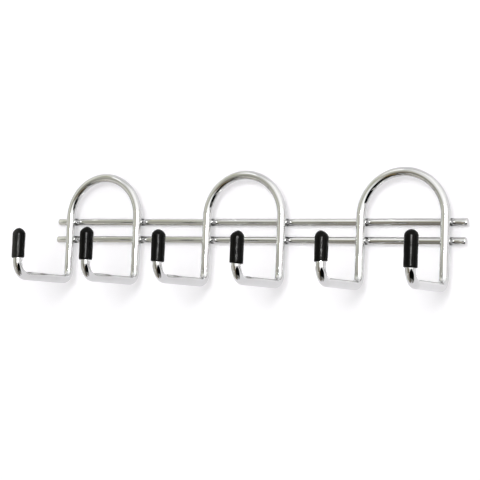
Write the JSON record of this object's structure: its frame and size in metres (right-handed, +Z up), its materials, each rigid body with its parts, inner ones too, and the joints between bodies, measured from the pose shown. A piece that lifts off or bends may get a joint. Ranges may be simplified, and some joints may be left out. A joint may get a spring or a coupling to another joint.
{
  "type": "multi-hook hanger",
  "caption": "Wall rack of bent chrome wire: arched wires welded across parallel rails, each turning out into forward hooks with soft capped tips, for hanging clothes and hangers.",
  "frame": {"origin": "on the wall plane that the backs of both rails touch, midway between the rails and midway between the outer legs", "axes": "+X along the rails to the right as seen from the front, +Y into the wall, +Z up; the hooks reach out towards -Y"},
  "size_m": [0.2911, 0.0705, 0.0747],
  "materials": {
    "hook_chrome": "polished chrome plate on steel wire",
    "rail_chrome": "polished chrome plate on steel rod",
    "weld_chrome": "chrome plate over a rough weld",
    "cap_vinyl": "black dip-moulded vinyl, satin"
  },
  "bodies": {
    "root": {"rail_upper": "rail_chrome", "rail_lower": "rail_chrome", "hook_wire_1": "hook_chrome", "hook_wire_2": "hook_chrome", "hook_wire_3": "hook_chrome", "weld_upper_1": "weld_chrome", "weld_upper_2": "weld_chrome", "weld_upper_3": "weld_chrome", "weld_upper_4": "weld_chrome", "weld_upper_5": "weld_chrome", "weld_upper_6": "weld_chrome", "weld_lower_1": "weld_chrome", "weld_lower_2": "weld_chrome", "weld_lower_3": "weld_chrome", "weld_lower_4": "weld_chrome", "weld_lower_5": "weld_chrome", "weld_lower_6": "weld_chrome", "tip_cap_1": "cap_vinyl", "tip_cap_2": "cap_vinyl", "tip_cap_3": "cap_vinyl", "tip_cap_4": "cap_vinyl", "tip_cap_5": "cap_vinyl", "tip_cap_6": "cap_vinyl"}
  },
  "joints": []
}
